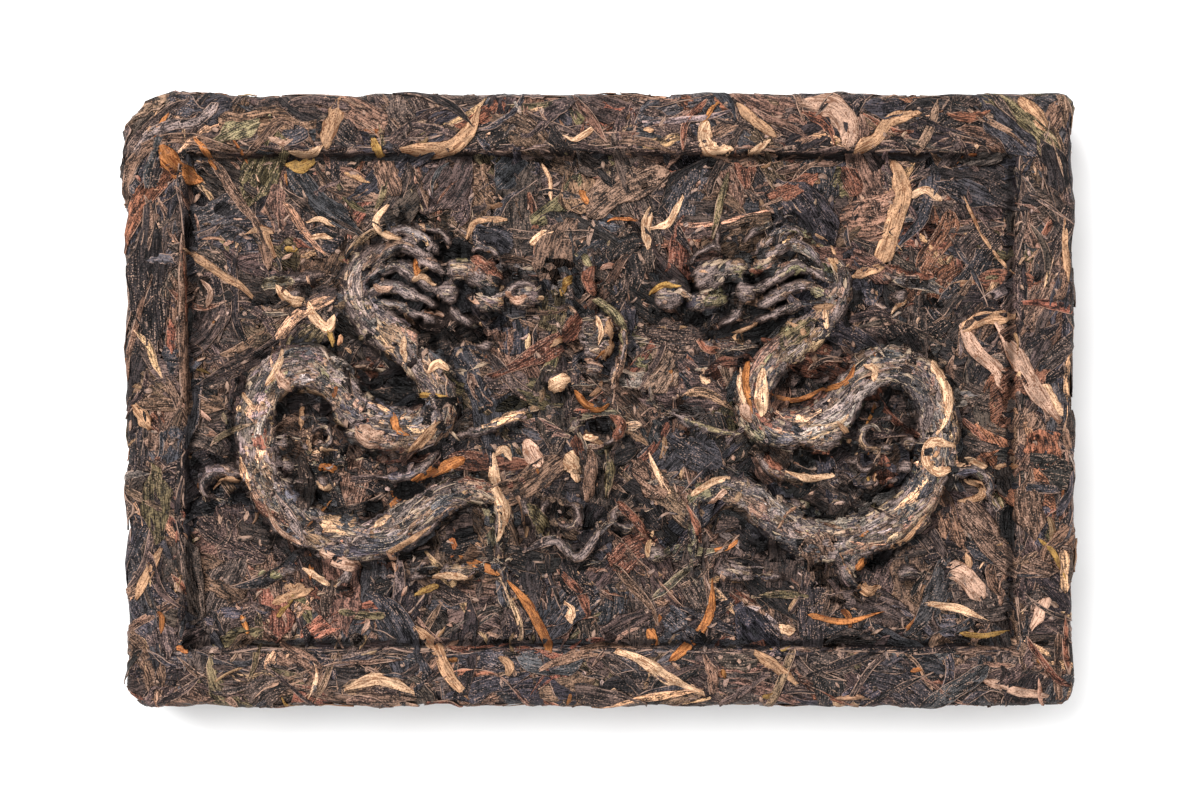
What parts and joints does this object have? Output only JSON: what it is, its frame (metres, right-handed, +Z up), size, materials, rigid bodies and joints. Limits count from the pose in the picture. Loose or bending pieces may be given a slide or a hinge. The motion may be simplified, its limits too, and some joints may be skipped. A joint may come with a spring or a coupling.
{
  "type": "pressed tea brick",
  "caption": "Flat rectangular brick of pressed pu-erh tea leaves: raised rim, sunken panel and two moulded dragons facing a flaming pearl.",
  "frame": {"origin": "middle of the underside's bounding box, on the surface that the brick lies on", "axes": "+X along the brick's length, +Y across it towards the dragons' heads, +Z up out of the moulded face"},
  "size_m": [0.242, 0.157, 0.0295],
  "materials": {
    "tea": "dry pressed tea leaf, dark brown to black with tan, orange and cream stems and tips, dull to satin"
  },
  "bodies": {
    "root": {"tea_brick": "tea"}
  },
  "joints": []
}
